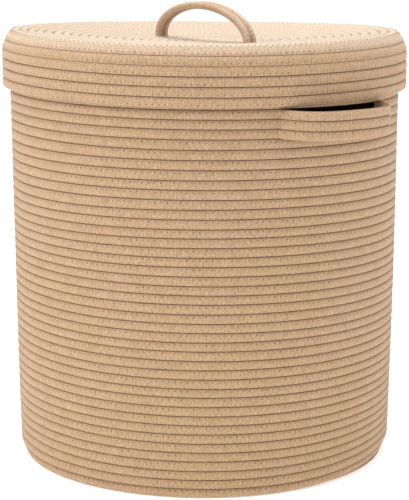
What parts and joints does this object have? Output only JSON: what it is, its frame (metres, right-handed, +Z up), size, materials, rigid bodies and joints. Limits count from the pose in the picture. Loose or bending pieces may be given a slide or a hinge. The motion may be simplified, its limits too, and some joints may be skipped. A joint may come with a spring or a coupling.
{
  "type": "laundry hamper with lid",
  "caption": "Round coiled-rope laundry hamper with a lift-off skirted lid, rope loop lid handle and bowed rope side handles over hand slots.",
  "frame": {"origin": "centre of the base's underside, on the floor", "axes": "+Z up the basket's axis; the two side handles are on +X and -X; the lid's loop handle runs along X"},
  "size_m": [0.478, 0.43, 0.4834],
  "materials": {
    "basket_rope": "matte woven cotton rope, natural beige",
    "lid_rope": "matte woven cotton rope, natural beige",
    "handle_rope": "matte woven cotton rope, natural beige"
  },
  "bodies": {
    "basket": {"base_spiral": "basket_rope", "base_edge_coil": "basket_rope", "wall_course_1": "basket_rope", "wall_course_2": "basket_rope", "wall_course_3": "basket_rope", "wall_course_4": "basket_rope", "wall_course_5": "basket_rope", "wall_course_6": "basket_rope", "handle_row_front_1": "basket_rope", "handle_row_back_1": "basket_rope", "handle_row_front_2": "basket_rope", "handle_row_back_2": "basket_rope", "handle_row_front_3": "basket_rope", "handle_row_back_3": "basket_rope", "rim_lower_course": "basket_rope", "rim_coil": "basket_rope", "rim_rope_tail": "basket_rope"},
    "right_handle": {"right_handle_strand_1": "handle_rope", "right_handle_strand_2": "handle_rope", "right_handle_strand_3": "handle_rope"},
    "left_handle": {"left_handle_strand_1": "handle_rope", "left_handle_strand_2": "handle_rope", "left_handle_strand_3": "handle_rope"},
    "lid": {"lid_disc": "lid_rope", "lid_edge_coil": "lid_rope", "lid_shoulder_coil": "lid_rope", "lid_skirt_coil_1": "lid_rope", "lid_skirt_coil_2": "lid_rope", "lid_skirt_coil_3": "lid_rope", "lid_skirt_coil_4": "lid_rope", "lid_skirt_coil_5": "lid_rope", "lid_handle_tail_left": "handle_rope", "lid_handle_tail_right": "handle_rope"},
    "lid_handle": {"lid_handle_rope_front": "handle_rope", "lid_handle_rope_back": "handle_rope"}
  },
  "joints": [
    {"name": "lid_lift", "type": "slide", "parent": "basket", "child": "lid", "axis": [0, 0, 1], "range_m": [0, 0.15]},
    {"name": "right_handle_tilt", "type": "hinge", "parent": "basket", "child": "right_handle", "pos_m": [0.19, 0, 0.37407], "axis": [0, -1, 0], "range_deg": [-10, 8], "stiffness_Nm_per_rad": 1},
    {"name": "left_handle_tilt", "type": "hinge", "parent": "basket", "child": "left_handle", "pos_m": [-0.19, 0, 0.37407], "axis": [0, 1, 0], "range_deg": [-10, 8], "stiffness_Nm_per_rad": 1},
    {"name": "lid_handle_sway", "type": "hinge", "parent": "lid", "child": "lid_handle", "pos_m": [0, 0, 0.45354], "axis": [1, 0, 0], "range_deg": [-40, 40], "stiffness_Nm_per_rad": 0.4}
  ]
}
